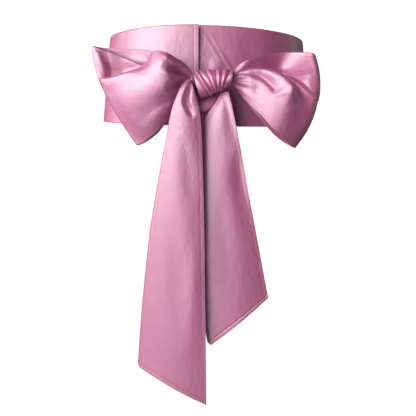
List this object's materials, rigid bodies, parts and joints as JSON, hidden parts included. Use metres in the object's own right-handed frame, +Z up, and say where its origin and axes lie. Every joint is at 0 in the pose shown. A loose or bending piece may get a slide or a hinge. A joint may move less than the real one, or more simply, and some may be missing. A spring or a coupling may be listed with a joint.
{
  "type": "satin waist sash with a front bow",
  "caption": "Pink satin waist sash worn as a band, its hemmed end crossing at centre front, tied in a wide two-loop bow with a pleated knot and two long tails cut on a slant.",
  "frame": {"origin": "the middle of the waist hollow, at half the height of the band, where the wearer's waist holds the sash", "axes": "+X to the right as the bow is seen from the front, +Y from the bow to the back of the waist, +Z up; the bow faces -Y"},
  "size_m": [0.2746, 0.239, 0.4527],
  "materials": {
    "satin": "bright satin face, woven, soft pink"
  },
  "bodies": {
    "root": {"waist_band": "satin", "bow_loop_left": "satin", "bow_loop_right": "satin", "knot_wrap": "satin", "knot_under": "satin", "tail_left": "satin", "tail_right": "satin"}
  },
  "joints": []
}
